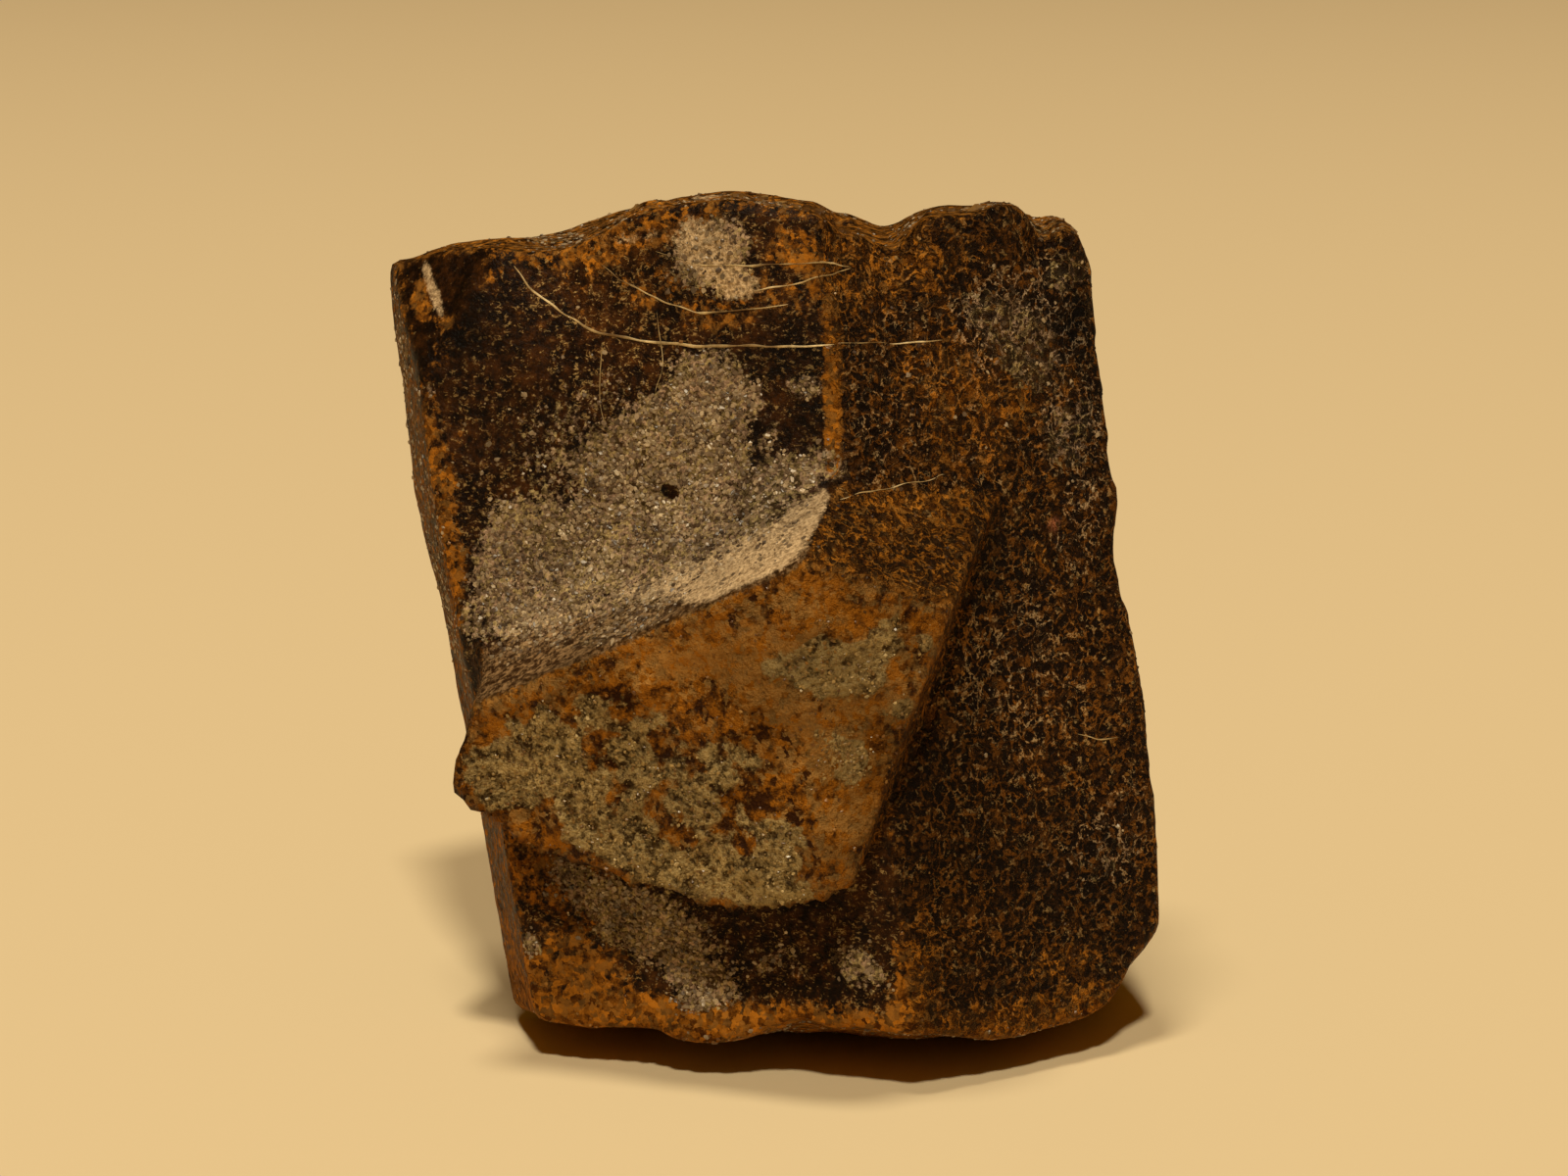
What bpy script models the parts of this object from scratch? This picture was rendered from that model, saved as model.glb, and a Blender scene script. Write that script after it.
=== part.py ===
"""Staurolite twin: two six-sided crystals grown through each other at 60 degrees, in one solid.

Each crystal starts as a block that its natural faces and its broken faces cut to shape.
The two are joined, the surface is divided evenly, and every point then moves onto one smooth
surface function that wears the edges, fills the inner corner and gives the broken faces their
lumps. Sizes are in millimetres, and the finished mesh is scaled to metres.
+Z is up, and the end of the crossing crystal faces -Y.
"""

import math

import bmesh
import bpy
import numpy as np
from mathutils import Matrix, Vector

MM = 0.001

# The point where the two crystals' axes cross, above the face that the twin stands on.
TWIN_CENTRE = Vector((1.32, -1.04, 20.5))

# The stout crystal stands nearly upright: it leans to its left and backwards.
STOUT_LEAN_LEFT = 7.0
STOUT_LEAN_BACK = 10.0

# The crossing crystal comes out to the front, to the left and down, 60 degrees from the other.
CROSSING_TURN_LEFT = 17.0
CROSSING_DIP = 23.0

# Faces: name, turn round the crystal's axis, tilt towards its end (90 is square across the end),
# and distance from the twin's centre. The stout crystal's turn starts at the front.
STOUT_FACES = [
    ("front left prism", -15.0, 0.0, 8.6),
    ("front right prism", 35.5, 0.0, 9.5),
    ("right side", 100.5, -0.5, 13.7),
    ("back right prism", 165.0, 0.0, 10.8),
    ("back left prism", -144.5, 0.0, 10.1),
    ("left side", -76.5, -3.0, 15.5),
    ("broken top, left", -32.0, 84.0, 17.1),
    ("broken top, middle", 66.5, 80.0, 16.1),
    ("broken top, right", 81.5, 41.0, 18.7),
    ("chipped corner", -41.0, 18.5, 16.1),
    ("broken foot, front", -44.0, -78.5, 20.6),
    ("broken foot, left", -74.5, -72.0, 21.6),
    ("broken foot, right", 59.0, -80.0, 22.3),
    ("broken foot, right corner", 85.5, -39.5, 21.9),
]

# The crossing crystal's turn starts at its upper side.
CROSSING_FACES = [
    ("broken end, right", -55.5, 48.0, 13.7),
    ("broken end, left", 5.5, 66.0, 13.5),
    ("upper right", -32.0, 0.0, 9.2),
    ("right flank", -109.5, 0.0, 7.5),
    ("under right", -169.5, 0.0, 6.0),
    ("under front", 169.5, 0.0, 5.7),
    ("under left", 140.5, 0.0, 8.7),
    ("left", 82.5, 0.0, 10.9),
    ("ridge side", 25.0, 0.0, 5.8),
    ("broken back end", 149.5, -80.5, 15.8),
]

BLOCK = 120.0  # the block that the faces are cut from
EDGE_WEAR = 0.11  # rounding of the crystals' own edges
CORNER_FILL = 0.25  # rounding of the inner corner where the crystals meet
WIDE_FILL = 1.2  # the same along the upper left of the crossing crystal
WIDE_FILL_FROM = (-12.7, 18.5)  # X and Z of the two ends of that wide hollow
WIDE_FILL_TO = (-0.7, 24.5)
WIDE_FILL_REACH = 3.0

# Hollows and lumps: name, centre X, Y, Z, reach in X, Y, Z, and height (minus is a hollow).
RELIEF = [
    ("notch in the top", 4.5, 0.0, 36.8, 1.9, 14.0, 4.0, -1.5),
    ("deep side of the notch", 5.3, 0.0, 36.8, 0.8, 14.0, 4.0, -0.85),
    ("step at the left of the notch", 2.9, 0.0, 36.8, 0.6, 14.0, 4.0, -0.6),
    ("rise beside the notch", -1.5, 0.0, 37.0, 1.3, 12.0, 3.0, 0.42),
    ("hollow in the top left", -9.3, -1.0, 36.0, 3.0, 12.0, 4.0, -1.0),
    ("low top left", -14.0, 0.0, 35.5, 2.2, 12.0, 2.0, -0.22),
    ("worn top left corner", -16.4, 0.0, 35.0, 1.1, 12.0, 1.6, -0.6),
    ("lump at the top right", 10.7, -1.0, 36.6, 2.4, 7.0, 4.0, 0.3),
    ("rise at the top right", 9.9, 0.0, 37.0, 1.1, 8.0, 3.0, 0.28),
    ("step at the top right", 11.9, 0.0, 36.3, 0.65, 8.0, 2.0, -0.95),
    ("shoulder at the top right", 13.3, 0.0, 35.3, 0.8, 6.0, 1.4, 0.5),
    ("bowed left side", -15.0, 0.0, 23.8, 2.5, 12.0, 4.6, 0.48),
    ("hollow in the right side", 15.3, 0.0, 21.0, 2.0, 10.0, 3.2, -0.42),
    ("bump on the right side", 14.9, 2.0, 23.6, 1.5, 7.0, 1.2, 0.3),
    ("swelling of the right side", 15.8, -4.0, 16.0, 2.0, 4.0, 6.0, 0.35),
    ("swelling low on the right", 16.2, 0.0, 10.5, 2.0, 8.0, 3.4, 0.15),
    ("knob on the left of the end", -13.1, -10.3, 13.4, 1.2, 3.0, 1.3, 0.45),
    ("lower left of the end", -12.9, -10.5, 12.0, 0.8, 2.0, 0.8, 0.25),
    ("hollow under the foot", -1.7, -10.0, 2.6, 5.0, 4.0, 3.0, -0.35),
    ("lip of the foot", -2.4, -11.2, 1.9, 2.3, 2.0, 1.2, 0.75),
    ("worn upper front edge", 2.3, -10.0, 31.0, 1.6, 2.5, 7.0, -0.2),
]

BREAK_LUMPS = 0.28  # height of the lumps on the broken faces
BREAK_LUMP_SIZE = 3.0
FACE_WAVES = 0.07  # height of the waves on the natural faces
FACE_WAVE_SIZE = 5.0

SPACING = 1.12  # how far apart the surface's points are
BASE_SNAP = 1e-4

COLOUR = (0.11, 0.062, 0.03, 1.0)
ROUGHNESS = 0.6


def crystal_axes():
    """Unit vectors along the stout crystal and along the crossing crystal."""
    left = math.tan(math.radians(STOUT_LEAN_LEFT))
    back = math.tan(math.radians(STOUT_LEAN_BACK))
    stout = Vector((-left, back, 1.0)).normalized()
    turn = math.radians(CROSSING_TURN_LEFT)
    dip = math.radians(CROSSING_DIP)
    flat = math.cos(dip)
    crossing = Vector((-flat * math.sin(turn), -flat * math.cos(turn), -math.sin(dip)))
    return stout, crossing


def face_planes(faces, axis, start):
    """Normal and distance from the origin of each face of a crystal."""
    first = (start - axis * start.dot(axis)).normalized()
    second = axis.cross(first)
    planes = []
    for _, turn, tilt, distance in faces:
        turn = math.radians(turn)
        tilt = math.radians(tilt)
        around = first * math.cos(turn) + second * math.sin(turn)
        normal = around * math.cos(tilt) + axis * math.sin(tilt)
        planes.append((normal, normal.dot(TWIN_CENTRE) + distance))
    return planes


def cut_block(name, planes):
    """A block with everything outside the planes cut away."""
    bm = bmesh.new()
    bmesh.ops.create_cube(bm, size=BLOCK)
    for normal, distance in planes:
        geometry = bm.verts[:] + bm.edges[:] + bm.faces[:]
        cut = bmesh.ops.bisect_plane(
            bm, geom=geometry, plane_co=normal * distance, plane_no=normal, clear_outer=True
        )
        rim = [part for part in cut["geom_cut"] if isinstance(part, bmesh.types.BMEdge)]
        bmesh.ops.edgeloop_fill(bm, edges=rim)
    bmesh.ops.recalc_face_normals(bm, faces=bm.faces)
    mesh = bpy.data.meshes.new(name)
    bm.to_mesh(mesh)
    bm.free()
    solid = bpy.data.objects.new(name, mesh)
    bpy.context.scene.collection.objects.link(solid)
    return solid


def join_crystals(stout, crossing):
    """The union of the two crystals as a bmesh; the two blocks are removed."""
    union = stout.modifiers.new("union", "BOOLEAN")
    union.operation = "UNION"
    union.solver = "EXACT"
    union.object = crossing
    bpy.context.view_layer.update()
    evaluated = stout.evaluated_get(bpy.context.evaluated_depsgraph_get())
    bm = bmesh.new()
    bm.from_mesh(evaluated.to_mesh())
    evaluated.to_mesh_clear()
    for block in (stout, crossing):
        bpy.data.objects.remove(block, do_unlink=True)
    return bm


def flat_edges(bm):
    """Edges whose two faces lie in one plane."""
    return [e for e in bm.edges if e.is_manifold and e.calc_face_angle(1.0) < 0.01]


def divide_evenly(bm):
    """Split every long edge, and even out the triangles inside each flat face."""
    bmesh.ops.remove_doubles(bm, verts=bm.verts, dist=SPACING * 0.4)
    bmesh.ops.dissolve_degenerate(bm, edges=bm.edges, dist=SPACING * 0.05)
    bmesh.ops.triangulate(bm, faces=bm.faces)
    long_edges = bm.edges[:]
    while long_edges:
        long_edges = [e for e in bm.edges if e.calc_length() > SPACING * 1.45]
        bmesh.ops.subdivide_edges(bm, edges=long_edges, cuts=1)
        bmesh.ops.triangulate(bm, faces=bm.faces)
        bmesh.ops.beautify_fill(bm, faces=bm.faces, edges=flat_edges(bm))
        relax_flat(bm)


def relax_flat(bm):
    """Move points that lie inside a flat face towards the middle of their neighbours."""
    flat = set(flat_edges(bm))
    inside = [v for v in bm.verts if all(e in flat for e in v.link_edges)]
    for _ in range(2):
        middles = []
        for v in inside:
            around = [e.other_vert(v).co for e in v.link_edges]
            middles.append(sum(around, Vector()) / len(around))
        for v, middle in zip(inside, middles):
            v.co = v.co.lerp(middle, 0.6)


def lattice_value(cells, seed):
    """A fixed pseudo-random number from -1 to 1 for each whole-number cell."""
    mixed = cells[:, 0] * 374761393 + cells[:, 1] * 668265263 + cells[:, 2] * 2147483647
    mixed = (mixed + seed * 974711) & 0xFFFFFFFF
    mixed = ((mixed ^ (mixed >> 13)) * 1274126177) & 0xFFFFFFFF
    mixed = mixed ^ (mixed >> 16)
    return mixed / 0x7FFFFFFF - 1.0


def lumps(points, size, seed):
    """Smooth random heights between -1 and 1, with lumps about one size across."""
    scaled = points / size
    cell = np.floor(scaled).astype(np.int64)
    part = scaled - cell
    part = part * part * (3.0 - 2.0 * part)
    height = np.zeros(len(points))
    for corner in np.ndindex(2, 2, 2):
        weight = np.prod(np.where(corner, part, 1.0 - part), axis=1)
        height += weight * lattice_value(cell + corner, seed)
    return height


def soft_max(values, rounding):
    """The largest of the values in each row, with the corners between them rounded."""
    top = values.max(axis=1)
    spread = np.exp((values - top[:, None]) / rounding).sum(axis=1)
    return top + rounding * np.log(spread)


def wide_fill(points):
    """Rounding of the inner corner at each point: wide along the upper left hollow."""
    start = np.array(WIDE_FILL_FROM)
    along = np.array(WIDE_FILL_TO) - start
    flat = points[:, [0, 2]] - start
    share = np.clip(flat @ along / (along @ along), 0.0, 1.0)
    away = np.linalg.norm(flat - share[:, None] * along, axis=1)
    return CORNER_FILL + (WIDE_FILL - CORNER_FILL) * np.exp(-((away / WIDE_FILL_REACH) ** 2))


def height_above(points, planes, faces, seed):
    """Distance outside one crystal, with its lumps and waves taken off."""
    normals = np.array([tuple(normal) for normal, _ in planes])
    distances = np.array([distance for _, distance in planes])
    values = points @ normals.T - distances
    broken = np.array([face[0].startswith(("broken", "chipped")) for face in faces])
    rough = BREAK_LUMPS * lumps(points, BREAK_LUMP_SIZE, seed)
    rough += 0.4 * BREAK_LUMPS * lumps(points, BREAK_LUMP_SIZE * 0.45, seed + 1)
    smooth = FACE_WAVES * lumps(points, FACE_WAVE_SIZE, seed + 2)
    values -= np.where(broken, rough[:, None], smooth[:, None])
    return soft_max(values, EDGE_WEAR)


def surface(points, stout_planes, crossing_planes):
    """Zero on the finished surface, below zero inside."""
    stout = height_above(points, stout_planes, STOUT_FACES, 11)
    crossing = height_above(points, crossing_planes, CROSSING_FACES, 23)
    fill = wide_fill(points)
    both = -soft_max(np.stack([-stout / fill, -crossing / fill], axis=1), 1.0) * fill
    for _, x, y, z, reach_x, reach_y, reach_z, height in RELIEF:
        away = (points - (x, y, z)) / (reach_x, reach_y, reach_z)
        both -= height * np.exp(-(away**2).sum(axis=1))
    return both


def settle_on_surface(bm, stout_planes, crossing_planes):
    """Move every point onto the surface function, and keep the face it stands on flat."""
    standing = [v for v in bm.verts if abs(v.co.z) < BASE_SNAP]
    points = np.array([tuple(v.co) for v in bm.verts])
    step = 0.02
    for _ in range(8):
        value = surface(points, stout_planes, crossing_planes)
        slope = np.empty_like(points)
        for axis in range(3):
            ahead = points.copy()
            ahead[:, axis] += step
            slope[:, axis] = (surface(ahead, stout_planes, crossing_planes) - value) / step
        move = value[:, None] * slope / (slope**2).sum(axis=1)[:, None]
        points -= np.clip(move, -0.4, 0.4)
    standing_index = {v.index for v in standing}
    for v, place in zip(bm.verts, points):
        if v.index not in standing_index:
            v.co = Vector(place)
            v.co.z = max(v.co.z, 0.0)


def stone_material():
    """Dark reddish brown, mostly dull."""
    material = bpy.data.materials.new("staurolite")
    material.use_nodes = True
    shader = material.node_tree.nodes["Principled BSDF"]
    shader.inputs["Base Color"].default_value = COLOUR
    shader.inputs["Roughness"].default_value = ROUGHNESS
    shader.inputs["Metallic"].default_value = 0.0
    material.diffuse_color = COLOUR
    return material


def build():
    for old in list(bpy.data.objects):
        bpy.data.objects.remove(old, do_unlink=True)

    stout_axis, crossing_axis = crystal_axes()
    stout_planes = face_planes(STOUT_FACES, stout_axis, Vector((0.0, -1.0, 0.0)))
    crossing_planes = face_planes(CROSSING_FACES, crossing_axis, Vector((0.0, 0.0, 1.0)))

    standing_plane = [(Vector((0.0, 0.0, -1.0)), 0.0)]
    stout = cut_block("stout", stout_planes + standing_plane)
    crossing = cut_block("crossing", crossing_planes)
    bm = join_crystals(stout, crossing)
    divide_evenly(bm)
    bm.verts.index_update()
    settle_on_surface(bm, stout_planes, crossing_planes)

    # The origin is the middle of the bounding box, on the face that the twin stands on.
    points = np.array([tuple(v.co) for v in bm.verts])
    low, high = points.min(axis=0), points.max(axis=0)
    middle = (low + high) / 2.0
    print("box", low, high, "shift", -middle[:2], "triangles", len(bm.faces))
    bmesh.ops.translate(bm, verts=bm.verts, vec=Vector((-middle[0], -middle[1], 0.0)))
    bm.transform(Matrix.Scale(MM, 4))
    bmesh.ops.recalc_face_normals(bm, faces=bm.faces)

    mesh = bpy.data.meshes.new("staurolite_crystal")
    bm.to_mesh(mesh)
    bm.free()
    mesh.materials.append(stone_material())
    mesh.shade_smooth()
    mesh.set_sharp_from_angle(angle=math.radians(25.0))
    crystal = bpy.data.objects.new("staurolite_crystal", mesh)
    bpy.context.scene.collection.objects.link(crystal)


build()
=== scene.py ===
import functools
import math

import bpy
import numpy as np
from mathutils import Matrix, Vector


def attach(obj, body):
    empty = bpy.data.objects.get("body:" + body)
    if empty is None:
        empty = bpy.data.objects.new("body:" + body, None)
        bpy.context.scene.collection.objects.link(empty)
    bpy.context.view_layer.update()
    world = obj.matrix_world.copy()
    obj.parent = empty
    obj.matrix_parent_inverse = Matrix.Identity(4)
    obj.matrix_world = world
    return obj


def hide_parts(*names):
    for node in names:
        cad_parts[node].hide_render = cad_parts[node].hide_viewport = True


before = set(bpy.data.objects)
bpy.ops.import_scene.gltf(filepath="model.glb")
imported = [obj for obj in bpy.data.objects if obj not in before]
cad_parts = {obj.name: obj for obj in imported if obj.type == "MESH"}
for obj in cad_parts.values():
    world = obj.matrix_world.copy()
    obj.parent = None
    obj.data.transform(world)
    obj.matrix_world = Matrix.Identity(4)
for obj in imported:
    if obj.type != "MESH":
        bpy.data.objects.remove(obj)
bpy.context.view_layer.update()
node = "staurolite_crystal"
mm = 0.001  # every size below is in millimetres, and the meshes are written in metres


crystal = {
    "twinCentre": (1.32, -1.067, 20.5),  # where the crystals' axes cross
    "leanLeft": 7.0,  # degrees, the stout crystal
    "leanBack": 10.0,
    "crossingTurn": 17.0,  # degrees to the left of straight out at the front
    "crossingDip": 23.0,
    # turn round the axis, tilt towards the end, distance from the centre
    "stoutFaces": {
        "front left prism": (-15.0, 0.0, 8.6),
        "front right prism": (35.5, 0.0, 9.5),
        "right side": (100.5, -0.5, 13.7),
        "back right prism": (165.0, 0.0, 10.8),
        "back left prism": (-144.5, 0.0, 10.1),
        "left side": (-76.5, -3.0, 15.5),
        "broken top, left": (-32.0, 84.0, 17.1),
        "broken top, middle": (66.5, 80.0, 16.1),
        "broken top, right": (81.5, 41.0, 18.7),
        "chipped corner": (-41.0, 18.5, 16.1),
        "broken foot, front": (-44.0, -78.5, 20.6),
        "broken foot, left": (-74.5, -72.0, 21.6),
        "broken foot, right": (59.0, -80.0, 22.3),
        "broken foot, right corner": (85.5, -39.5, 21.9),
    },
    "crossingFaces": {
        "broken end, right": (-55.5, 48.0, 13.7),
        "broken end, left": (5.5, 66.0, 13.5),
        "upper right": (-32.0, 0.0, 9.2),
        "right flank": (-109.5, 0.0, 7.5),
        "under right": (-169.5, 0.0, 6.0),
        "under front": (169.5, 0.0, 5.7),
        "under left": (140.5, 0.0, 8.7),
        "left": (82.5, 0.0, 10.9),
        "ridge side": (25.0, 0.0, 5.8),
        "broken back end": (149.5, -80.5, 15.8),
    },
    "edgeWear": 0.11,  # rounding of the crystals' edges
    "cornerFill": 0.25,  # rounding of the inner corner between them
    "wideFill": 1.2,  # the same in the hollow along the upper left of the crossing crystal
    "wideFillFrom": (-12.7, 18.5),  # X and Z
    "wideFillTo": (-0.7, 24.5),
    "wideFillReach": 3.0,
    "breakLumps": 0.28,
    "breakLumpSize": 3.0,
    "faceWaves": 0.07,
    "faceWaveSize": 5.0,
    "rows": 129,  # points along each side of the six grids that wrap the twin
    "evening": 36,  # rounds of evening out the grid
    "eveningPull": 0.7,  # share of the way that a point moves in one round
    "frontWeight": 0.9,  # how much closer the points draw together at the front
    "slopeStep": 0.02,  # distance over which the surface's slope is measured
    "longestMove": 0.4,  # of a point, in one step towards the surface
    "faceBlend": 0.12,  # how softly one face's covers pass into the next face's
    "crossingBlend": 0.15,  # the same between the two crystals
    "edgeReach": 0.38,  # width of the outer edges that take rust and a painted orange highlight
    "centring": (-0.126, 0.0, 0.0),  # brings the middle of the whole onto the origin
}

# Hollows and lumps: centre, reach along X, Y and Z, height (minus is a hollow)
relief = {
    "notch in the top": (4.5, 0.0, 36.8, 1.9, 14.0, 4.0, -1.5),
    "deep side of the notch": (5.3, 0.0, 36.8, 0.8, 14.0, 4.0, -0.85),
    "step at the left of the notch": (2.9, 0.0, 36.8, 0.6, 14.0, 4.0, -0.6),
    "rise beside the notch": (-1.5, 0.0, 37.0, 1.3, 12.0, 3.0, 0.42),
    "hollow in the top left": (-9.3, -1.0, 36.0, 3.0, 12.0, 4.0, -1.0),
    "low top left": (-14.0, 0.0, 35.5, 2.2, 12.0, 2.0, -0.22),
    "worn top left corner": (-16.4, 0.0, 35.0, 1.1, 12.0, 1.6, -0.6),
    "lump at the top right": (10.7, -1.0, 36.6, 2.4, 7.0, 4.0, 0.3),
    "rise at the top right": (9.9, 0.0, 37.0, 1.1, 8.0, 3.0, 0.28),
    "step at the top right": (11.9, 0.0, 36.3, 0.65, 8.0, 2.0, -0.95),
    "shoulder at the top right": (13.3, 0.0, 35.3, 0.8, 6.0, 1.4, 0.5),
    "bowed left side": (-15.0, 0.0, 23.8, 2.5, 12.0, 4.6, 0.48),
    "hollow in the right side": (15.3, 0.0, 21.0, 2.0, 10.0, 3.2, -0.42),
    "bump on the right side": (14.9, 2.0, 23.6, 1.5, 7.0, 1.2, 0.3),
    "swelling of the right side": (15.8, -4.0, 16.0, 2.0, 4.0, 6.0, 0.35),
    "swelling low on the right": (16.2, 0.0, 10.5, 2.0, 8.0, 3.4, 0.15),
    "knob on the left of the end": (-13.1, -10.3, 13.4, 1.2, 3.0, 1.3, 0.45),
    "lower left of the end": (-12.9, -10.5, 12.0, 0.8, 2.0, 0.8, 0.25),
    "hollow under the foot": (-1.7, -10.0, 2.6, 5.0, 4.0, 3.0, -0.35),
    "lip of the foot": (-2.4, -11.2, 1.9, 2.3, 2.0, 1.2, 0.75),
    "worn upper front edge": (2.3, -10.0, 31.0, 1.6, 2.5, 7.0, -0.2),
}


def crystalAxes():
    # the stout crystal leans to its left and back; the crossing one comes out, left and down
    stout = np.array((-math.tan(math.radians(crystal["leanLeft"])),
                      math.tan(math.radians(crystal["leanBack"])), 1.0))
    turn = math.radians(crystal["crossingTurn"])
    dip = math.radians(crystal["crossingDip"])
    crossing = np.array((-math.cos(dip) * math.sin(turn), -math.cos(dip) * math.cos(turn),
                         -math.sin(dip)))
    return stout / np.linalg.norm(stout), crossing


def facePlanes(faces, axis, start):
    # outward normal and distance from the origin of every face, one row a face
    first = start - axis * (start @ axis)
    first = first / np.linalg.norm(first)
    second = np.cross(axis, first)
    turn, tilt, distance = np.array(list(faces.values())).T
    turn, tilt = np.radians(turn)[:, None], np.radians(tilt)[:, None]
    normal = np.cos(tilt) * (np.cos(turn) * first + np.sin(turn) * second) + np.sin(tilt) * axis
    return normal, normal @ np.array(crystal["twinCentre"]) + distance


def latticeValue(cell, seed):
    # a fixed pseudo-random number from -1 to 1 for each whole-number cell
    mixed = cell[:, 0] * 374761393 + cell[:, 1] * 668265263 + cell[:, 2] * 2147483647
    mixed = (mixed + seed * 974711) & 0xFFFFFFFF
    mixed = ((mixed ^ (mixed >> 13)) * 1274126177) & 0xFFFFFFFF
    mixed = mixed ^ (mixed >> 16)
    return mixed / 0x7FFFFFFF - 1.0


def lumps(points, size, seed):
    # smooth random heights between -1 and 1: lattice values blended by a cubic curve
    scaled = points / size
    cell = np.floor(scaled).astype(np.int64)
    part = scaled - cell
    part = part * part * (3.0 - 2.0 * part)
    height = np.zeros(len(points))
    for corner in np.ndindex(2, 2, 2):
        weight = np.prod(np.where(corner, part, 1.0 - part), axis=1)
        height += weight * latticeValue(cell + corner, seed)
    return height


def roughness(points, size, seed, octaves=3):
    # lumps added up, each half the size and about half the height of the last
    total = np.zeros(len(points))
    for octave in range(octaves):
        total += lumps(points, size * 0.5**octave, seed + octave) * 0.55**octave
    return total


def outside(points, planes):
    # distance of each point outside each of one crystal's faces
    return points @ planes[0].T - planes[1]


def softMax(values, rounding):
    # the largest value of each row, with the corners between the values rounded
    top = values.max(axis=1)
    return top + rounding * np.log(np.exp((values - top[:, None]) / rounding).sum(axis=1))


def smoothStep(low, high, value):
    share = np.clip((value - low) / (high - low), 0.0, 1.0)
    return share * share * (3.0 - 2.0 * share)


stoutAxis, crossingAxis = crystalAxes()
stoutPlanes = facePlanes(crystal["stoutFaces"], stoutAxis, np.array((0.0, -1.0, 0.0)))
crossingPlanes = facePlanes(crystal["crossingFaces"], crossingAxis, np.array((0.0, 0.0, 1.0)))
brokenFaces = {
    "stout": np.array([name.startswith(("broken", "chipped")) for name in crystal["stoutFaces"]]),
    "crossing": np.array([name.startswith("broken") for name in crystal["crossingFaces"]]),
}


def wideFill(points):
    # rounding of the inner corner: widest along a line in the upper left hollow
    start = np.array(crystal["wideFillFrom"])
    along = np.array(crystal["wideFillTo"]) - start
    flat = points[:, [0, 2]] - start
    share = np.clip(flat @ along / (along @ along), 0.0, 1.0)
    away = np.linalg.norm(flat - share[:, None] * along, axis=1)
    extra = crystal["wideFill"] - crystal["cornerFill"]
    return crystal["cornerFill"] + extra * np.exp(-((away / crystal["wideFillReach"]) ** 2))


def heightAbove(points, planes, broken, seed, rough):
    # distance outside one crystal: the largest distance outside any of its faces
    values = outside(points, planes)
    if rough:
        size = crystal["breakLumpSize"]
        bumps = lumps(points, size, seed) + 0.4 * lumps(points, size * 0.45, seed + 1)
        waves = crystal["faceWaves"] * lumps(points, crystal["faceWaveSize"], seed + 2)
        values = values - np.where(broken, crystal["breakLumps"] * bumps[:, None], waves[:, None])
    return softMax(values, crystal["edgeWear"])


def surfaceValue(points, rough=True):
    # zero on the twin's surface and below zero inside: the two crystals' smaller height
    stout = heightAbove(points, stoutPlanes, brokenFaces["stout"], 11, rough)
    crossing = heightAbove(points, crossingPlanes, brokenFaces["crossing"], 23, rough)
    fill = wideFill(points)
    both = -softMax(np.stack([-stout / fill, -crossing / fill], axis=1), 1.0) * fill
    for x, y, z, reachX, reachY, reachZ, height in relief.values():
        away = (points - (x, y, z)) / (reachX, reachY, reachZ)
        both -= height * np.exp(-(away**2).sum(axis=1))
    return both


def valueAndSlope(points, rough=True):
    # the surface value, and how fast it grows along X, Y and Z
    step = crystal["slopeStep"]
    value = surfaceValue(points, rough)[:, None]
    ahead = [surfaceValue(points + step * axis, rough) for axis in np.eye(3)]
    return value, (np.stack(ahead, axis=1) - value) / step


def unit(rows):
    return rows / np.linalg.norm(rows, axis=1)[:, None]


def settle(points, rounds, rough=True):
    # Newton steps onto the zero surface: value times slope, over the slope's length squared
    for _ in range(rounds):
        value, slope = valueAndSlope(points, rough)
        move = value * slope / (slope**2).sum(axis=1)[:, None]
        points = points - np.clip(move, -crystal["longestMove"], crystal["longestMove"])
    return points


def cubeGrid(rows):
    # six square grids of directions on a cube about the centre, their shared rows welded
    t = np.tan(np.linspace(-math.pi / 4, math.pi / 4, rows))
    a, b = np.meshgrid(t, t, indexing="ij")
    one = np.ones_like(a)
    sides = [(one, a, b), (-one, b, a), (b, one, a), (a, -one, b), (a, b, one), (b, a, -one)]
    points = np.stack([np.stack(side, axis=-1).reshape(-1, 3) for side in sides]).reshape(-1, 3)
    keys = np.round(points * 1e5).astype(np.int64)
    _, first, inverse = np.unique(keys, axis=0, return_index=True, return_inverse=True)
    index = inverse.reshape(6, rows, rows)
    corners = [index[:, :-1, :-1], index[:, 1:, :-1], index[:, 1:, 1:], index[:, :-1, 1:]]
    return unit(points[first]), np.stack(corners, axis=-1).reshape(-1, 4)


def castOut(directions):
    # how far each direction runs before it leaves both crystals' planes
    centre = np.array(crystal["twinCentre"])
    reach = np.zeros(len(directions))
    for normals, distances in (stoutPlanes, crossingPlanes):
        rate = directions @ normals.T
        away = (distances - normals @ centre) / np.where(rate > 1e-6, rate, 1e-6)
        reach = np.maximum(reach, np.where(rate > 1e-6, away, 1e9).min(axis=1))
    return centre + directions * reach[:, None]


def evenOut(points, quads, rounds):
    # each point moves towards the weighted middle of its neighbours and back to the surface
    start, end = quads.T.ravel(), np.roll(quads, -1, axis=1).T.ravel()
    count = len(points)
    for turn in range(rounds):
        pull = 1.0 + crystal["frontWeight"] * smoothStep(4.0, -6.0, points[end, 1])
        total = [np.bincount(start, points[end, k] * pull, count) for k in range(3)]
        middle = np.stack(total, axis=1) / np.bincount(start, pull, count)[:, None]
        points = points + crystal["eveningPull"] * (middle - points)
        if turn % 3 == 2:
            points = settle(points, 1, rough=False)
    return points


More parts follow.
